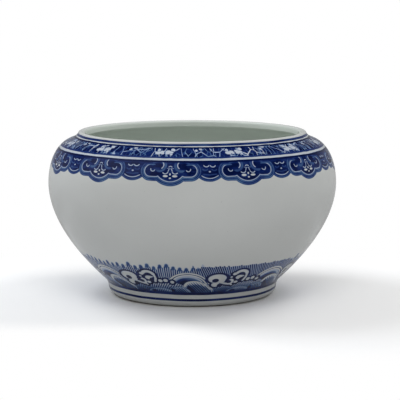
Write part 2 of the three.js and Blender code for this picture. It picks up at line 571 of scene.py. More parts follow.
def make_prunus():
    """White blossom on a dark ground of cracked ice."""
    tree, sheet, given = new_group("Blossom on ice", PLACE_SOCKETS, INK_SOCKET)
    turns, rise, place = (given.outputs[name] for name in ("Turns", "Rise", "Place"))
    rise = sheet.wander(rise, place, 90.0, 0.8)
    # Two sizes of crack over one another, both taller than wide, each drawn with a light brush line.
    ground = sheet.remap(sheet.noise(place, 75.0, 3.0), 0.34, 0.6, BLUE + 0.15, NAVY)
    upright = sheet.vector("MULTIPLY", place, (1.0, 1.0, 0.0))
    upright = sheet.vector("MULTIPLY", sheet.vector("NORMALIZE", upright), (ICE_RADIUS,) * 3)
    tall = sheet.feed(sheet.node("ShaderNodeCombineXYZ"), 0.0, 0.0, sheet.math("MULTIPLY", rise, ICE_RISE))
    upright = sheet.vector("ADD", upright, tall.outputs[0])
    ink = cracks(sheet, upright, ground, scale=150.0, breadth=0.07, tones=(0.75, 0.32))
    ink = cracks(sheet, upright, ink, scale=82.0, breadth=0.046, tones=(0.4, 0.04))
    # The blossoms: two open ones side by side with buds over them, and a small one between the pairs.
    across = wrapped(sheet, turns, BLOSSOMS, BLOSSOM_WIDTH, BLOSSOM_TURN, -BLOSSOM_WIDTH / 2)
    point = sheet.point(across, rise)
    blooms = sheet.union(
        point,
        ("oval", (-7.8, 255.0), (4.2, 3.6)),
        ("oval", (-4.0, 257.6), (4.4, 3.2)),
        ("oval", (-8.2, 262.4), (2.2, 3.0)),
        ("oval", (-2.0, 254.4), (2.6, 2.4)),
        ("oval", (5.2, 258.6), (3.8, 3.8)),
        ("oval", (8.6, 256.4), (3.2, 3.0)),
        ("oval", (5.0, 254.6), (3.0, 2.6)),
        ("oval", (10.8, 263.2), (3.0, 3.0)),
        ("oval", (9.6, 251.6), (2.0, 1.6)),
        ("oval", (42.0, 261.4), (2.0, 2.8)),
        ("oval", (-44.4, 265.0), (3.6, 1.3)))
    ink = sheet.over(ink, FAINT + 0.02, sheet.mask(blooms))
    eyes = sheet.union(
        point,
        ("oval", (-6.0, 259.4), (1.3, 0.9)),
        ("oval", (0.6, 257.2), (0.9, 2.0)),
        ("oval", (8.2, 260.8), (1.4, 0.8)))
    ink = sheet.over(ink, BLUE, sheet.mask(eyes))
    # The margins of the band: a clear blue line below, a dark one above with a white one over it.
    ink = sheet.over(ink, BLUE + 0.1, sheet.between(rise, WHITE_RULE_TOP, 247.6, 0.6))
    ink = sheet.over(ink, NAVY, sheet.between(rise, 266.6, GROUND_TOP, 0.5))
    ink = sheet.math("MULTIPLY", ink, sheet.between(rise, WHITE_RULE_TOP, GROUND_TOP))
    ink = sheet.over(ink, FAINT - 0.02, sheet.between(rise, COLLAR_TOP, WHITE_RULE_TOP))
    close_group(sheet, Ink=ink)
    return tree


def cracks(sheet, place, ink, scale, breadth, tones):
    """Light lines along the edges of cells, fainter in one place than in another."""
    cells = sheet.node("ShaderNodeTexVoronoi", feature="DISTANCE_TO_EDGE")
    sheet.feed(cells, Vector=place, Scale=scale, Randomness=1.0)
    lines = sheet.remap(cells.outputs["Distance"], breadth * 0.35, breadth, 1.0, 0.0, smooth=True)
    strength = sheet.remap(sheet.noise(place, scale * 0.7), 0.38, 0.6, *tones)
    return sheet.over(ink, strength, lines)


def make_collar():
    """Twelve cloud-shaped lappets that hang from the shoulder, with small ones between them."""
    tree, sheet, given = new_group("Lappet collar", PLACE_SOCKETS, INK_SOCKET)
    turns, rise, place = (given.outputs[name] for name in ("Turns", "Rise", "Place"))
    small = SMALL_LAPPET[0]
    # Each lappet is the same on both sides, so only one side is drawn.
    across = wrapped(sheet, turns, LAPPETS, LAPPET_WIDTH, LAPPET_TURN, -LAPPET_WIDTH / 2)
    across = sheet.math("ABSOLUTE", sheet.wander(across, place, 26.0, 1.0))
    rise = sheet.wander(rise, place, 33.0, 0.9)
    point = sheet.point(across, rise)
    stretched = sheet.vector("MULTIPLY", place, (1.0, 1.0, 2.4))
    streaks = sheet.remap(sheet.noise(stretched, 75.0, 3.0), 0.42, 0.68, 0.0, 1.0)
    heart = sheet.math("MULTIPLY_ADD", streaks, -0.3, NAVY)
    # The small lappet: a striped border, a dark heart, a light line along it and two curls over a dot.
    little = sheet.oval(point, SMALL_LAPPET, (SMALL_RADIUS, SMALL_RADIUS))
    depth = sheet.math("MULTIPLY_ADD", little, -0.1, SMALL_BORDER / 10, clamp=True)
    ink = sheet.ramp(depth, ((0.0, DEEP), (0.07, BLUE), (0.15, WASH + 0.12), (0.21, DEEP),
                             (0.28, BLUE - 0.02), (0.36, NAVY)))
    ink = sheet.over(ink, heart, sheet.mask(little, 0.5))
    shades = sheet.union(
        point,
        ("arc", (small - 6, 231.5), 4.0, 0.9, -90, 70),
        ("stroke", (small - 8, 222.6), (small, 221.6), 0.8))
    ink = sheet.over(ink, BLUE - 0.02, sheet.mask(shades, 0.6))
    lines = sheet.union(
        point,
        ("arc", SMALL_LAPPET, SMALL_RADIUS, 0.62, -90, 46),
        ("arc", (small - 4.3, 236.4), 4.1, 0.68, -90, 78),
        ("oval", (small, 225.8), (1.5, 1.1)))
    ink = sheet.over(ink, FAINT + 0.06, sheet.mask(lines))
    # The large lappet over it: the border again, then the curls that turn inwards at the top.
    large = sheet.union(
        point,
        ("oval", LARGE_LAPPET, (LARGE_RADIUS, LARGE_RADIUS)),
        ("stroke", (19.5, 227), (26.5, 227), 8.0))
    depth = sheet.math("MULTIPLY_ADD", large, -0.1, LARGE_BORDER / 10, clamp=True)
    border = sheet.ramp(depth, ((0.0, DEEP), (0.05, BLUE), (0.11, WASH + 0.06), (0.2, WASH + 0.1),
                                (0.26, DEEP), (0.31, BLUE), (0.38, WASH + 0.04), (0.46, WASH + 0.12),
                                (0.53, DEEP)))
    border = sheet.math("MULTIPLY_ADD", streaks, 0.12, border)
    border = sheet.over(border, NAVY - 0.06, sheet.remap(rise, 235.0, 239.0, 0.0, 1.0, smooth=True))
    outer = sheet.math("SUBTRACT", large, LARGE_BORDER)
    ink = sheet.over(ink, border, sheet.mask(outer))
    ink = sheet.over(ink, heart, sheet.mask(large, 0.5))
    hooks = sheet.union(
        point,
        ("arc", (14.6, 234.6), 8.3, 1.7, 205, 110),
        ("stroke", (12.0, 238.6), (24.0, 237.4), 0.9))
    ink = sheet.over(ink, WASH + 0.14, sheet.mask(hooks, 0.7))
    ink = sheet.over(ink, NAVY, sheet.mask(sheet.oval(point, (16.5, 234.6), (5.6, 3.4)), 0.9))
    top = sheet.remap(rise, 235.5, 238.5, 0.0, 0.45, smooth=True)
    ink = sheet.over(ink, DEEP - 0.05, top)
    under_curls = sheet.remap(rise, 234.0, 236.0, 1.0, 0.0)
    heart_line = sheet.math("MULTIPLY", sheet.between(large, -0.6, 0.6, 0.4), under_curls)
    ink = sheet.over(ink, FAINT + 0.06, heart_line)
    lines = sheet.union(
        point,
        ("arc", (14.6, 234.6), 5.4, 0.72, 180, 76),
        ("arc", (23.4, 228.8), 2.9, 0.62, -72, 118),
        ("stroke", (1.6, 229.6), (2.7, 226.4), 0.55),
        ("arc", (6.6, 226.8), 3.9, 0.66, 262, 80),
        ("arc", (0, 230.6), 2.6, 0.62, 90, 80),
        ("stroke", (0, 229.9), (4.4, 230.3), 0.25))
    ink = sheet.over(ink, FAINT + 0.04, sheet.mask(lines))
    flower = sheet.union(
        point,
        ("oval", (6.1, 220.0), (3.5, 1.5)),
        ("oval", (0, 222.4), (1.1, 1.5)),
        ("oval", (0, 217.4), (1.5, 1.1)))
    ink = sheet.over(ink, BARE, sheet.mask(flower))
    wash = sheet.remap(sheet.noise(place, 70.0, 3.0), 0.35, 0.65, 0.9, 1.06)
    ink = sheet.math("MULTIPLY", ink, wash)
    ink = sheet.over(ink, NAVY, sheet.between(rise, 238.4, 241.6, 0.8))
    edge = sheet.math("MINIMUM", outer, sheet.math("SUBTRACT", little, SMALL_BORDER))
    edge = sheet.math("MINIMUM", edge, sheet.math("SUBTRACT", 236.0, rise))
    below = sheet.remap(rise, COLLAR_TOP - 0.35, COLLAR_TOP + 0.35, 1.0, 0.0)
    inside = sheet.math("MULTIPLY", sheet.mask(edge), below)
    close_group(sheet, Ink=sheet.math("MULTIPLY", ink, inside))
    return tree


def make_spray():
    """The fringe of upright strokes that stands over the waves."""
    tree, sheet, given = new_group("Spray", PLACE_SOCKETS, INK_SOCKET)
    turns, rise, place = (given.outputs[name] for name in ("Turns", "Rise", "Place"))
    # Loose tufts with round tips on one side of each third of the bowl, and close strokes on the other.
    third = sheet.math("SINE", sheet.math("MULTIPLY", turns, 3 * math.tau))
    loose = sheet.remap(third, -0.05, 0.35, 1.0, 0.0)
    slope = sheet.over(0.0004, -0.0001, loose)
    lean = sheet.math("MULTIPLY", sheet.math("SUBTRACT", rise, SPRAY_MIDDLE), slope)
    lean = sheet.math("MULTIPLY_ADD", sheet.noise(place, 14.0), 0.008, lean)
    leaning = sheet.math("ADD", turns, lean)
    strokes = sheet.math("MULTIPLY", leaning, SPRAY_STROKES)
    which = sheet.node("ShaderNodeTexWhiteNoise", noise_dimensions="1D")
    sheet.feed(which, W=sheet.math("FLOOR", strokes))
    chance = which.outputs["Value"]
    hair = sheet.remap(sheet.math("PINGPONG", strokes, 0.5), 0.08, 0.26, 0.0, 1.0)
    gap = sheet.over(FAINT + 0.08, FAINT - 0.02, loose)
    brush = sheet.math("MULTIPLY_ADD", chance, 0.26, sheet.over(BLUE + 0.05, BLUE - 0.09, loose))
    tone = sheet.over(gap, brush, hair)
    # The tufts, each with a round tip over its strokes.
    tufts = sheet.math("MULTIPLY", leaning, SPRAY_TUFTS)
    which_tuft = sheet.node("ShaderNodeTexWhiteNoise", noise_dimensions="1D")
    sheet.feed(which_tuft, W=sheet.math("FLOOR", tufts))
    height = sheet.math("MULTIPLY_ADD", which_tuft.outputs["Value"], 8.0, 83.8)
    aside = sheet.math("MULTIPLY", sheet.math("SUBTRACT", sheet.math("FRACT", tufts), 0.5), TUFT_WIDTH)
    shoulder = sheet.math("MULTIPLY_ADD", sheet.math("ABSOLUTE", aside), 0.8, 2.6)
    top = sheet.math("SUBTRACT", height, shoulder)
    top = sheet.over(sheet.math("MULTIPLY_ADD", chance, 2.6, 84.6), top, loose)
    inside = sheet.remap(sheet.math("SUBTRACT", rise, top), -1.0, 0.5, 1.0, 0.0, smooth=True)
    tone = sheet.math("MULTIPLY", tone, inside)
    tip = sheet.oval(sheet.point(aside, sheet.math("SUBTRACT", rise, height)), (0, -3.9), (2.5, 4.0))
    tip = sheet.math("MULTIPLY", sheet.mask(tip, 1.0), loose)
    tone = sheet.over(tone, BLUE - 0.02, tip)
    close_group(sheet, Ink=tone)
    return tree


def make_waves():
    """Rolling waves with curled foam, seven round the bowl, under a fringe of spray."""
    tree, sheet, given = new_group("Waves", PLACE_SOCKETS + (("Spray", "number"),), INK_SOCKET)
    turns, rise, place = (given.outputs[name] for name in ("Turns", "Rise", "Place"))
    # The repeats are closer together at the front than at the back.
    angle = sheet.math("MULTIPLY", turns, math.tau)
    crowding = sheet.math("MULTIPLY", sheet.math("SINE", angle), WAVE_CROWDING / math.tau)
    turns = sheet.math("ADD", turns, crowding)
    across = wrapped(sheet, turns, WAVES, WAVE_WIDTH, WAVE_TURN, WAVE_START)
    across = sheet.wander(across, place, 24.0, 1.5)
    rise = sheet.wander(rise, place, 20.0, 1.6)
    point = sheet.point(across, rise)
    ink = given.outputs["Spray"]
    # The water under the spray, in slanting strokes that darken downwards.
    rising = hatch(sheet, across, rise, -0.55)
    falling = hatch(sheet, across, rise, 0.75)
    water = sheet.remap(rise, 31.0, 50.0, NAVY - 0.04, DEEP)
    lighter = sheet.remap(rise, 28.0, 48.0, -0.25, -0.76)
    water = sheet.math("MULTIPLY_ADD", rising, lighter, water)
    ragged = sheet.math("MULTIPLY_ADD", sheet.noise(place, 35.0), 8.0, rise)
    ink = sheet.over(ink, water, sheet.remap(ragged, 52.0, 58.0, 1.0, 0.0))
    flare = sheet.remap(rise, 34.0, 54.0, 8.5, 0.0)
    leaning = sheet.point(sheet.math("SUBTRACT", across, flare), rise)
    ink = crest(sheet, leaning, rise, across, ink)
    ink = inner_wave(sheet, leaning, rise, across, ink, falling)
    # Two low swells near the foot, each with a dark eye.
    ink = swell(sheet, point, ink, LEFT_SWELL, LEFT_EYE, falling)
    ink = swell(sheet, point, ink, RIGHT_SWELL, RIGHT_EYE, rising)
    ink = foam(sheet, point, ink)
    bottom = sheet.remap(rise, UPPER_RULE[1], WATER_LINE + 0.8, 1.0, 0.0)
    ink = sheet.over(ink, DEEP, bottom)
    wash = sheet.remap(sheet.noise(place, 60.0, 3.0), 0.35, 0.65, 0.9, 1.08)
    ink = sheet.math("MULTIPLY", ink, wash)
    inside = sheet.remap(rise, UPPER_RULE[0] - 0.4, UPPER_RULE[0] + 0.4, 0.0, 1.0)
    close_group(sheet, Ink=sheet.math("MULTIPLY", ink, inside))
    return tree


def hatch(sheet, across, rise, slant):
    """Slanting light strokes, HATCH_COUNT of them in a millimetre: 1 on a stroke and 0 between two."""
    place = sheet.math("MULTIPLY_ADD", rise, slant, across)
    strokes = sheet.math("MULTIPLY", place, HATCH_COUNT / math.hypot(1, slant))
    return sheet.remap(sheet.math("PINGPONG", strokes, 0.5), 0.12, 0.32, 0.0, 1.0)


def inwards(sheet, point, centre, radii):
    """An oval as a mask, with how far inside it a place lies, in millimetres."""
    shape = sheet.oval(point, centre, radii)
    return sheet.mask(shape), sheet.math("MULTIPLY", shape, -1.0)


def swell(sheet, point, ink, wave, eye, strokes):
    """A low wave: a soft grey back over a dark body with light strokes and a dark eye."""
    shape, depth = inwards(sheet, point, *wave)
    tone = sheet.ramp(sheet.math("MULTIPLY", depth, 0.05, clamp=True),
                      ((0.0, DEEP), (0.03, PALE + 0.14), (0.1, WASH - 0.06), (0.21, BLUE + 0.1),
                       (0.5, NAVY - 0.02)))
    strokes = sheet.math("MULTIPLY", strokes, sheet.remap(depth, 1.5, 3.5, 0.0, 1.0))
    tone = sheet.math("MULTIPLY_ADD", strokes, -0.45, tone)
    tone = sheet.over(tone, NAVY, sheet.mask(sheet.oval(point, eye, EYE_RADII), 2.0))
    return sheet.over(ink, tone, shape)


def crest(sheet, point, rise, across, ink):
    """The tall rolling wave: two light lines along its back, a grey band and a blue body."""
    shape, depth = inwards(sheet, point, *CREST)
    tone = sheet.ramp(sheet.math("MULTIPLY", depth, 0.05, clamp=True),
                      ((0.0, NAVY), (0.03, BARE), (0.15, BARE), (0.17, DEEP), (0.21, DEEP), (0.235, BARE),
                       (0.31, BARE), (0.34, FAINT + 0.06), (0.49, FAINT + 0.1), (0.57, BLUE - 0.1),
                       (0.72, BLUE + 0.02), (0.84, NAVY)))
    at_left = sheet.remap(across, -24.0, -6.0, 0.32, 0.0)
    hollow = sheet.math("MULTIPLY", at_left, sheet.remap(depth, 8.0, 12.0, 0.0, 1.0))
    tone = sheet.math("ADD", tone, hollow)
    lines = sheet.math("PINGPONG", sheet.math("MULTIPLY_ADD", depth, 0.286, -0.51), 0.5)
    lines = sheet.remap(lines, 0.2, 0.36, BARE, DEEP)
    tone = sheet.over(tone, lines, sheet.remap(across, 10.0, 24.0, 0.0, 1.0))
    floor = sheet.remap(sheet.math("MULTIPLY_ADD", across, 0.5, rise), 41.0, 43.0, 0.0, 1.0)
    return sheet.over(ink, tone, sheet.math("MULTIPLY", shape, floor))


def inner_wave(sheet, point, rise, across, ink, strokes):
    """The wave inside the crest: a white back, thick at the left, and a dark hollow under it."""
    shape, depth = inwards(sheet, point, *INNER_WAVE)
    body = sheet.remap(depth, 4.0, 9.0, WASH, NAVY)
    body = sheet.math("MAXIMUM", body, sheet.remap(rise, 34.0, 44.0, NAVY, FAINT))
    body = sheet.math("MULTIPLY_ADD", strokes, sheet.remap(depth, 6.0, 20.0, -0.6, -0.45), body)
    diagonal = sheet.math("MULTIPLY_ADD", rise, 0.75, across)
    under_back = sheet.remap(depth, 4.0, 7.0, 0.0, 1.0)
    dark = sheet.math("MULTIPLY", sheet.between(diagonal, 24.0, 34.5, 2.5), under_back)
    body = sheet.over(body, NAVY, dark)
    band = sheet.remap(across, -10.0, 28.0, 4.6, 1.8)
    back = sheet.remap(sheet.math("SUBTRACT", depth, band), -0.8, 1.2, BARE, 1.0)
    foot = sheet.math("SUBTRACT", rise, sheet.remap(across, -14.0, 6.0, 46.0, 35.0))
    back = sheet.math("MAXIMUM", back, sheet.remap(foot, -3.0, 2.0, 1.0, 0.0))
    tone = sheet.math("MINIMUM", body, back)
    at_right = sheet.remap(across, 10.0, 20.0, 0.0, 1.0)
    line = sheet.math("MULTIPLY", sheet.between(depth, 3.6, 5.0, 0.5), at_right)
    tone = sheet.over(tone, FAINT - 0.04, line)
    tone = sheet.over(tone, NAVY, sheet.remap(depth, 0.2, 0.9, 1.0, 0.0))
    return sheet.over(ink, tone, shape)


def foam(sheet, point, ink):
    """Curled heads of foam and a row of drops, white with a dark outline and dark eyes."""
    # The first head with its neck and tail, the small curl, the second head with its hook, and the drops.
    heads = sheet.union(
        point,
        ("oval", (40.7, 61.4), (13.4, 9.2)),
        ("oval", (40.0, 48.4), (6.6, 5.6)),
        ("stroke", (38.4, 53.0), (48.0, 54.0), 2.6),
        ("stroke", (51.0, 56.0), (49.0, 51.0), 2.2),
        ("stroke", (52.5, 50.2), (61.0, 47.6), 2.0),
        ("stroke", (63.0, 48.0), (66.0, 45.4), 1.6),
        ("arc", (60.6, 52.4), 4.9, 2.0, 0, 125),
        ("oval", (64.6, 69.0), (3.3, 3.0)),
        ("arc", (74.5, 65.4), 9.0, 2.7, 85, 92),
        ("stroke", (83.4, 67.5), (84.2, 60.0), 2.0),
        ("stroke", (84.2, 60.0), (82.2, 53.8), 2.1),
        ("oval", (73.2, 61.2), (5.4, 4.3)),
        ("stroke", (75.0, 64.2), (80.0, 63.2), 1.2),
        ("oval", (71.0, 51.3), (3.5, 2.7)),
        ("oval", (61.1, 62.8), (2.0, 1.7)),
        ("oval", (90.6, 55.5), (3.5, 3.3)),
        ("oval", (98.7, 56.8), (3.5, 3.5)),
        ("oval", (-26.4, 53.6), (3.1, 3.3)))
    ink = sheet.over(ink, NAVY, sheet.remap(heads, 2.4, 3.6, 1.0, 0.0, smooth=True))
    white = sheet.remap(heads, -3.0, -0.3, FAINT - 0.07, FAINT - 0.01)
    ink = sheet.over(ink, white, sheet.mask(heads, 0.45))
    eyes = sheet.union(
        point,
        ("oval", (38.6, 57.4), (4.9, 4.1)),
        ("oval", (47.2, 46.0), (4.2, 4.2)),
        ("oval", (59.4, 52.0), (2.4, 2.0)),
        ("oval", (77.6, 57.2), (3.6, 3.6)),
        ("stroke", (81.4, 63.6), (81.8, 61.0), 0.6))
    return sheet.over(ink, NAVY, sheet.mask(eyes, 0.5))


# ---------------------------------------------------------------- glaze, clay and cobalt

def make_cobalt():
    """Turns the depth of cobalt into colour over the glaze."""
    takes = INK_SOCKET + (("Glaze", "colour"),)
    tree, sheet, given = new_group("Cobalt under glaze", takes, FINISH_SOCKETS[:1])
    paint = bpy.context.scene.planter_paint
    ink = given.outputs["Ink"]
    tones = sheet.node("ShaderNodeValToRGB")
    fill_ramp(tones, ((0.0, paint.pale), (PALE, paint.pale), (WASH, paint.wash), (BLUE, paint.blue),
                      (DEEP, paint.deep), (NAVY, paint.navy)))
    sheet.feed(tones, ink)
    cover = sheet.remap(ink, BARE, PALE, 0.0, 1.0)
    close_group(sheet, Colour=sheet.colour_over(given.outputs["Glaze"], tones.outputs["Color"], cover))
    return tree


def make_glaze():
    """The glaze itself: faint clouds of colour, an uneven gloss and a surface that isn't quite even."""
    takes = SURFACE_SOCKETS + (("Tint", "colour"), ("Inner tint", "colour"))
    tree, sheet, given = new_group("Clear glaze", takes, FINISH_SOCKETS)
    place = given.outputs["Place"]
    crown = outline().lengths[outline().marks["lip_crown"]] / MM
    # From the lip's crown inwards the glaze blends into a greener tint: painted colour that stands in for
    # light bounced round inside the bowl.
    painted_bounce_share = sheet.remap(given.outputs["Rise"], crown, crown + PAINTED_BOUNCE_BLEND, 0.0, 1.0)
    tint = sheet.colour_over(given.outputs["Tint"], given.outputs["Inner tint"], painted_bounce_share)
    clouds = sheet.noise(place, 9.0, 4.0, 0.6)
    bright = sheet.remap(clouds, 0.3, 0.7, CLOUD_SHADE, 1.0)
    pits = sheet.noise(place, 420.0, 1.0)
    speck = sheet.remap(pits, 0.765, 0.8, 1.0, PIT_SHADE)
    bright = sheet.math("MULTIPLY", bright, speck)
    shaded = sheet.node("ShaderNodeVectorMath", operation="SCALE")
    sheet.feed(shaded, tint, Scale=bright)
    rough = sheet.remap(sheet.noise(place, 30.0, 3.0), 0.3, 0.7, *GLAZE_ROUGHNESS)
    height = sheet.math("MULTIPLY_ADD", sheet.noise(place, 260.0, 2.0), 0.03, sheet.noise(place, 14.0, 2.0))
    close_group(sheet, Colour=shaded.outputs[0], Roughness=rough, Height=height)
    return tree


def make_clay():
    """The bare standing face: buff clay with a rust-brown edge where the glaze stops."""
    takes = SURFACE_SOCKETS + (("Glaze", "colour"), ("Glaze roughness", "number"))
    tree, sheet, given = new_group("Bare clay edge", takes, FINISH_SOCKETS)
    paint = bpy.context.scene.planter_paint
    place = given.outputs["Place"]
    level = sheet.wander(given.outputs["Rise"], place, 60.0, 1.5, detail=3.0)
    bare = sheet.between(level, CLAY_FOOT, CLAY_LINE, 0.5)
    grain = sheet.noise(place, 700.0, 3.0, 0.7)
    clay = sheet.node("ShaderNodeValToRGB")
    fill_ramp(clay, ((0.3, paint.clay_dark), (0.7, paint.clay)))
    sheet.feed(clay, grain)
    burnt = sheet.between(level, CLAY_LINE - 2.2, CLAY_LINE + 0.6, 0.8)
    brown = sheet.colour_over(clay.outputs["Color"], (*paint.clay_burnt, 1.0), burnt)
    colour = sheet.colour_over(given.outputs["Glaze"], brown, bare)
    rough = sheet.over(given.outputs["Glaze roughness"], CLAY_ROUGHNESS, bare)
    # The clay lies a little lower than the glaze, and its grains stand out.
    height = sheet.math("MULTIPLY", sheet.math("MULTIPLY_ADD", grain, 0.2, -0.25), bare)
    close_group(sheet, Colour=colour, Roughness=rough, Height=height)
    return tree


class Kiln:
    """Makes the node groups once, and the materials from them."""

    def __init__(self):
        """Starts with no groups."""
        self.groups = {}

    def place(self, sheet, name, make, sockets):
        """Puts a group in a material, made when first asked for, and feeds the sockets that it has."""
        if name not in self.groups:
            self.groups[name] = make()
        node = sheet.node("ShaderNodeGroup", node_tree=self.groups[name])
        return sheet.feed(node, **{socket.name: sockets[socket.name] for socket in node.inputs})

    def lay_borders(self, sheet, borders, where):
        """Lays the painted borders over one another. One that takes the spray has it drawn in already."""
        ink = None
        for name, make in borders:
            border = self.place(sheet, name, make, {**where, "Spray": ink})
            laid = border.outputs["Ink"]
            ink = laid if ink is None or "Spray" in border.inputs else sheet.math("MAXIMUM", ink, laid)
        return ink

    def fire(self, finish, borders, clay=False):
        """A glazed material with its painted borders, and with bare clay at the foot if asked for."""
        material = bpy.data.materials.new(finish)
        material.use_nodes = True
        material.node_tree.nodes.clear()
        sheet = Sheet(material.node_tree)
        paint = bpy.context.scene.planter_paint
        painting = sheet.node("ShaderNodeUVMap", uv_map="Painting").outputs["UV"]
        split = sheet.feed(sheet.node("ShaderNodeSeparateXYZ"), painting)
        where = {
            "Turns": split.outputs["X"],
            "Rise": sheet.math("MULTIPLY", split.outputs["Y"], 1 / MM),
            "Place": sheet.node("ShaderNodeTexCoord").outputs["Object"],
        }
        # The greener tint inside is painted colour that stands in for light bounced round inside the bowl.
        tints = {"Tint": (*paint.glaze, 1.0), "Inner tint": (*paint.inside, 1.0)}
        glaze = self.place(sheet, "glaze", make_glaze, {**where, **tints})
        painted = {"Ink": self.lay_borders(sheet, borders, where), "Glaze": glaze.outputs["Colour"]}
        colour = self.place(sheet, "cobalt", make_cobalt, painted).outputs["Colour"]
        rough, height = glaze.outputs["Roughness"], glaze.outputs["Height"]
        if clay:
            glazed = {"Glaze": colour, "Glaze roughness": rough}
            edge = self.place(sheet, "clay", make_clay, {**where, **glazed})
            colour, rough = edge.outputs["Colour"], edge.outputs["Roughness"]
            height = sheet.math("ADD", height, edge.outputs["Height"])
        bump = sheet.node("ShaderNodeBump")
        sheet.feed(bump, Strength=RELIEF_STRENGTH, Distance=RELIEF_HEIGHT, Height=height)
        shader = sheet.node("ShaderNodeBsdfPrincipled")
        sheet.feed(shader, Base_Color=colour, Roughness=rough, Normal=bump.outputs["Normal"])
        shader.inputs["Specular IOR Level"].default_value = paint.gloss
        out = sheet.node("ShaderNodeOutputMaterial")
        sheet.tree.links.new(shader.outputs["BSDF"], out.inputs["Surface"])
        return material


# ---------------------------------------------------------------- what a user may change

class PlanterSizes(bpy.types.PropertyGroup):
    """Sizes of the turned bowl that the frame doesn't fix."""

    wall: FloatProperty(name="Wall", description="Thickness of the wall at the belly", default=0.008,
                        min=0.004, max=0.02, unit="LENGTH")
    segments: IntProperty(name="Segments", description="Faces round the bowl", default=256, min=32, max=512)


def colour_property(name, default, description):
    """A colour that a user may change."""
    return FloatVectorProperty(name=name, description=description, default=default, min=0, max=1,
                               subtype="COLOR")


class PlanterPaint(bpy.types.PropertyGroup):
    """Colours of the glaze, the cobalt and the clay."""

    glaze: colour_property("Glaze", (0.60, 0.615, 0.603), "Glaze over bare porcelain, outside")
    # The colour inside is the same glaze made greener: painted colour that stands in for light bounced round
    # inside the bowl.
    inside: colour_property("Inside", (0.61, 0.653, 0.61), "Glaze inside and under the base")
    pale: colour_property("Pale cobalt", (0.31, 0.38, 0.54), "A trace of cobalt")
    wash: colour_property("Cobalt wash", (0.078, 0.16, 0.30), "A light wash of cobalt")
    blue: colour_property("Cobalt", (0.018, 0.045, 0.17), "A full brush of cobalt")
    deep: colour_property("Deep cobalt", (0.004, 0.016, 0.105), "Cobalt laid on twice")
    navy: colour_property("Heaped cobalt", (0.001, 0.006, 0.05), "Cobalt where it lies thickest")
    clay: colour_property("Clay", (0.40, 0.31, 0.22), "Bare clay of the standing face")
    clay_dark: colour_property("Clay grain", (0.26, 0.19, 0.13), "Darker grains in the clay")
    clay_burnt: colour_property("Burnt edge", (0.075, 0.06, 0.045), "Where the clay meets the glaze")
    gloss: FloatProperty(name="Gloss", description="How strongly the glaze reflects", default=0.25, min=0,
                         max=1)


class PlanterStage(bpy.types.PropertyGroup):
    """The camera, lamps and floor."""

    distance: FloatProperty(name="Camera distance", description="From the bowl's axis, level",
                            default=2.1284, unit="LENGTH")
    height: FloatProperty(name="Camera height", description="Over the floor", default=0.4362, unit="LENGTH")
    pitch: FloatProperty(name="Camera pitch", description="Downwards", default=math.radians(8.212),
                         subtype="ANGLE")
    swing: FloatProperty(name="Camera swing", description="To the right", default=math.radians(0.2888),
                         subtype="ANGLE")
    lens: FloatProperty(name="Lens", description="Focal length in millimetres", default=138.37)
    sensor: FloatProperty(name="Sensor", description="Sensor width in millimetres", default=36.0)
    left: FloatProperty(name="Left lamp", description="Power at the left, in watts", default=15.2)
    right: FloatProperty(name="Right lamp", description="Power at the right, in watts", default=10.6)
    front: FloatProperty(name="Front lamp", description="Power in front, in watts", default=8.2)
    surround: FloatProperty(name="Surround", description="Strength of the light all round", default=0.37)
    mirrored: FloatProperty(name="Mirrored surround", description="How bright the surround is in the glaze",
                            default=0.28)
    mirrored_floor: FloatProperty(name="Mirrored floor", default=0.42,
                                  description="How bright the far floor is in the glaze")
    floor: FloatProperty(name="Floor", description="How pale the floor is", default=0.93, min=0, max=1)
    bounce: FloatProperty(name="Bounce", description="How pale the floor is to light that it throws up",
                          default=0.66, min=0, max=1)


# ---------------------------------------------------------------- the operators

OUTLINE = {}
KILN = Kiln()


def outline():
    """The bowl's outline, drawn when it is first asked for."""
    if "bowl" not in OUTLINE:
        OUTLINE["bowl"] = Outline(bpy.context.scene.planter_sizes)
    return OUTLINE["bowl"]


def make_section(name, node, slot, runs, bands, discs=(), **painting):
    """Turns one section, fires it and sets it in place of its node of the frame."""
    section = Section(outline(), *runs)
    piece = section.spin(name, bpy.context.scene.planter_sizes.segments)
    section.finish(piece, bands, discs)
    piece.data.materials.append(KILN.fire(**painting))
    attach(piece, "root")
    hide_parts(node)
    return {"FINISHED"}


class PLANTER_OT_foot(bpy.types.Operator):
    """Turns the foot, a glazed ring on a bare standing face"""

    bl_idname = "planter.foot"
    bl_label = "Foot ring"
    bl_options = {"REGISTER", "UNDO"}

    def execute(self, context):
        return make_section(
            "turned_foot", "foot_ring", "unglazed_foot", (("recess_edge", "foot_top"),),
            (("recess_edge", "stand_inner", 4, 0.25), ("stand_inner", "stand_outer", 4, 0.25),
             ("stand_outer", "foot_top", 4, 0.45)),
            finish="Foot glaze and clay", borders=(("rules", make_rules),), clay=True)


class PLANTER_OT_base(bpy.types.Operator):
    """Turns the base, with the floor inside and the ruled lines round its edge"""

    bl_idname = "planter.base"
    bl_label = "Base and floor"
    bl_options = {"REGISTER", "UNDO"}

    def execute(self, context):
        return make_section(
            "turned_base", "base_disc", "plain_glaze",
            (("recess_middle", "recess_edge"), ("foot_top", "waist"), ("floor_edge", "floor_middle")),
            (("foot_top", "waist", 6, 0.55),),
            (("recess_middle", "recess_edge"), ("floor_edge", "floor_middle")),
            finish="Ruled glaze", borders=(("rules", make_rules),))


class PLANTER_OT_lower(bpy.types.Operator):
    """Turns the lower bowl, painted with waves under a fringe of spray"""

    bl_idname = "planter.lower"
    bl_label = "Lower bowl"
    bl_options = {"REGISTER", "UNDO"}

    def execute(self, context):
        return make_section(
            "lower_bowl_waves", "lower_bowl", "painted_glaze",
            (("waist", "belly"), ("belly_inside", "floor_edge")),
            (("waist", "belly", 3, 0.84), ("belly_inside", "floor_edge", 2, 0.12)),
            finish="Glaze painted with waves", borders=(("spray", make_spray), ("waves", make_waves)))


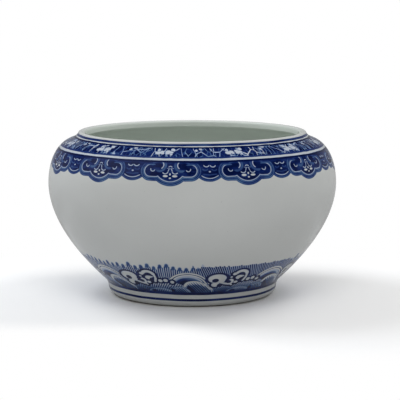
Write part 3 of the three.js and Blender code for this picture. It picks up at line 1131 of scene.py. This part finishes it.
class PLANTER_OT_upper(bpy.types.Operator):
    """Turns the upper bowl, painted with the lappet collar and the blossom band"""

    bl_idname = "planter.upper"
    bl_label = "Upper bowl"
    bl_options = {"REGISTER", "UNDO"}

    def execute(self, context):
        return make_section(
            "upper_bowl_collar", "upper_bowl", "painted_glaze",
            (("belly", "neck"), ("neck_inside", "belly_inside")),
            (("belly", "neck", 4, 0.86), ("neck_inside", "belly_inside", 2, 0.10)),
            finish="Glaze painted with lappets",
            borders=(("prunus", make_prunus), ("collar", make_collar)))


class PLANTER_OT_mouth(bpy.types.Operator):
    """Turns the mouth: the neck with the top of the blossom band, the blue line and the rounded lip"""

    bl_idname = "planter.mouth"
    bl_label = "Mouth rim"
    bl_options = {"REGISTER", "UNDO"}

    def execute(self, context):
        return make_section(
            "mouth_lip", "mouth_rim", "painted_glaze", (("neck", "neck_inside"),),
            (("neck", "lip_crown", 4, 0.66), ("lip_crown", "neck_inside", 4, 0.30)),
            finish="Glaze of the lip", borders=(("prunus", make_prunus), ("rules", make_rules)))


class PLANTER_OT_stage(bpy.types.Operator):
    """Sets the bowl on a pale floor under soft light, and places the camera"""

    bl_idname = "planter.stage"
    bl_label = "Stage"
    bl_options = {"REGISTER", "UNDO"}

    def execute(self, context):
        stage = context.scene.planter_stage
        place_camera(context.scene, stage)
        place_lamps(stage)
        light_surround(context.scene, stage)
        lay_floor(stage)
        return {"FINISHED"}


def place_camera(scene, stage):
    """A long lens in front of the bowl, a little above it."""
    select_nothing()
    turn = (math.pi / 2 - stage.pitch, 0, -stage.swing)
    bpy.ops.object.camera_add(location=(0, -stage.distance, stage.height), rotation=turn)
    camera = bpy.context.object
    camera.name = "Camera"
    camera.data.lens = stage.lens
    camera.data.sensor_width = stage.sensor
    scene.camera = camera
    scene.view_settings.view_transform = "Standard"


# The lamps, with their places in metres and their colours. All are square and point at the bowl.
LAMPS = (
    ("left", (-1.0, 0.45, 1.3), (0.93, 0.96, 1.0)),
    ("right", (1.0, 0.45, 1.3), (1.0, 1.0, 1.0)),
    ("front", (0.0, -1.2, 1.4), (1.0, 1.0, 1.0)),
)
LAMP_SIDE = 0.9
LAMP_AIM = Vector((0, 0, BELLY_HEIGHT * 0.8))


def place_lamps(stage):
    """Two soft lamps high over the back corners, the left one the stronger, and one in front."""
    for side, location, colour in LAMPS:
        select_nothing()
        bpy.ops.object.light_add(type="AREA", location=location)
        lamp = bpy.context.object
        lamp.name = f"{side.capitalize()} lamp"
        lamp.data.shape = "SQUARE"
        lamp.data.size = LAMP_SIDE
        lamp.data.energy = getattr(stage, side)
        lamp.data.color = colour
        lamp.rotation_euler = (LAMP_AIM - Vector(location)).to_track_quat("-Z", "Y").to_euler()
        lamp.visible_glossy = False


def seen_directly(sheet):
    """Two masks: one for rays from the camera or through glass, and one for mirrored rays."""
    path = sheet.node("ShaderNodeLightPath")
    through = sheet.math("MAXIMUM", path.outputs["Is Camera Ray"], path.outputs["Is Transmission Ray"])
    return through, path.outputs["Is Glossy Ray"]


# What the glaze mirrors: pale along the horizon, dark overhead, with a bright patch high on the left.
SWEEP_HEIGHTS = (0.1, 0.55)
OVERHEAD = 0.03
PATCH_WAY = (-0.72, -0.2, 0.66)
PATCH_EDGE = 0.72
PATCH_LIGHT = 0.7


def light_surround(scene, stage):
    """A white background for the camera, a sweep of grey in the glaze, and a plain grey one as a light."""
    world = bpy.data.worlds.new("Surround")
    scene.world = world
    world.use_nodes = True
    world.node_tree.nodes.clear()
    sheet = Sheet(world.node_tree)
    through, glossy = seen_directly(sheet)
    way = sheet.node("ShaderNodeTexCoord").outputs["Generated"]
    height = sheet.feed(sheet.node("ShaderNodeSeparateXYZ"), way).outputs["Z"]
    sweep = sheet.remap(height, *SWEEP_HEIGHTS, stage.mirrored, OVERHEAD, smooth=True)
    patch = sheet.vector("DOT_PRODUCT", way, PATCH_WAY)
    patch = sheet.remap(patch, PATCH_EDGE, 1.0, 0.0, PATCH_LIGHT, smooth=True)
    sweep = sheet.math("ADD", sweep, patch)
    strength = sheet.over(sheet.over(stage.surround, sweep, glossy), 1.0, through)
    light = sheet.node("ShaderNodeBackground")
    sheet.feed(light, WHITE, strength)
    out = sheet.node("ShaderNodeOutputWorld")
    sheet.tree.links.new(light.outputs[0], out.inputs["Surface"])


# Where the floor turns to the plain white of the background, in metres from the bowl's middle.
FADE_BACK = (0.07, 0.27)
FADE_FRONT_LEFT, FADE_FRONT_RIGHT = -0.228, -0.372
FADE_FRONT_TURN = (-0.04, 0.16)
FADE_SOFTNESS = 0.045
FLOOR_SIDE = 30


def lay_floor(stage):
    """A wide pale floor that keeps the bowl's shadow near it and is plain white further off."""
    select_nothing()
    bpy.ops.mesh.primitive_plane_add(size=FLOOR_SIDE, location=(0, 0, 0))
    floor = bpy.context.object
    floor.name = floor.data.name = "Floor"
    material = bpy.data.materials.new("Pale floor")
    material.use_nodes = True
    material.node_tree.nodes.clear()
    sheet = Sheet(material.node_tree)
    place = sheet.node("ShaderNodeTexCoord").outputs["Object"]
    spot = sheet.feed(sheet.node("ShaderNodeSeparateXYZ"), place).outputs
    back = sheet.remap(spot["Y"], *FADE_BACK, 0.0, 1.0, smooth=True)
    edge = sheet.remap(spot["X"], *FADE_FRONT_TURN, FADE_FRONT_LEFT, FADE_FRONT_RIGHT, smooth=True)
    beyond = sheet.math("SUBTRACT", edge, spot["Y"])
    front = sheet.remap(beyond, -FADE_SOFTNESS, FADE_SOFTNESS, 0.0, 1.0, smooth=True)
    through, glossy = seen_directly(sheet)
    seen = sheet.math("MAXIMUM", through, glossy)
    white = sheet.math("MULTIPLY", sheet.math("MAXIMUM", back, front), seen)
    base = sheet.node("ShaderNodeBsdfDiffuse")
    scattered = sheet.node("ShaderNodeLightPath").outputs["Is Diffuse Ray"]
    bounced = sheet.math("MAXIMUM", scattered, glossy)
    sheet.feed(base, sheet.over(stage.floor, stage.bounce, bounced))
    plain = sheet.node("ShaderNodeEmission")
    sheet.feed(plain, WHITE, sheet.over(1.0, stage.mirrored_floor, glossy))
    both = sheet.node("ShaderNodeMixShader")
    sheet.feed(both, white, base.outputs[0], plain.outputs[0])
    out = sheet.node("ShaderNodeOutputMaterial")
    sheet.tree.links.new(both.outputs[0], out.inputs["Surface"])
    floor.data.materials.append(material)


OPERATORS = (PLANTER_OT_foot, PLANTER_OT_base, PLANTER_OT_lower, PLANTER_OT_upper, PLANTER_OT_mouth,
             PLANTER_OT_stage)


class PLANTER_PT_panel(bpy.types.Panel):
    """Lists the planter's sizes, colours and operators."""

    bl_idname = "PLANTER_PT_panel"
    bl_label = "Planter"
    bl_space_type = "VIEW_3D"
    bl_region_type = "UI"
    bl_category = "Planter"

    def draw(self, context):
        groups = (("Sizes", "planter_sizes"), ("Paint", "planter_paint"), ("Stage", "planter_stage"))
        for title, group in groups:
            box = self.layout.box()
            box.label(text=title)
            settings = getattr(context.scene, group)
            for name in settings.__annotations__:
                box.prop(settings, name)
        for operator in OPERATORS:
            self.layout.operator(operator.bl_idname)


CLASSES = (PlanterSizes, PlanterPaint, PlanterStage, *OPERATORS, PLANTER_PT_panel)


def register():
    """Adds the classes and the settings to Blender."""
    for item in CLASSES:
        bpy.utils.register_class(item)
    bpy.types.Scene.planter_sizes = bpy.props.PointerProperty(type=PlanterSizes)
    bpy.types.Scene.planter_paint = bpy.props.PointerProperty(type=PlanterPaint)
    bpy.types.Scene.planter_stage = bpy.props.PointerProperty(type=PlanterStage)


def unregister():
    """Takes them out again."""
    del bpy.types.Scene.planter_stage
    del bpy.types.Scene.planter_paint
    del bpy.types.Scene.planter_sizes
    for item in reversed(CLASSES):
        bpy.utils.unregister_class(item)


def main():
    """Makes every piece and the stage."""
    register()
    bpy.ops.planter.foot()
    bpy.ops.planter.base()
    bpy.ops.planter.lower()
    bpy.ops.planter.upper()
    bpy.ops.planter.mouth()
    bpy.ops.planter.stage()


if __name__ == "__main__":
    main()
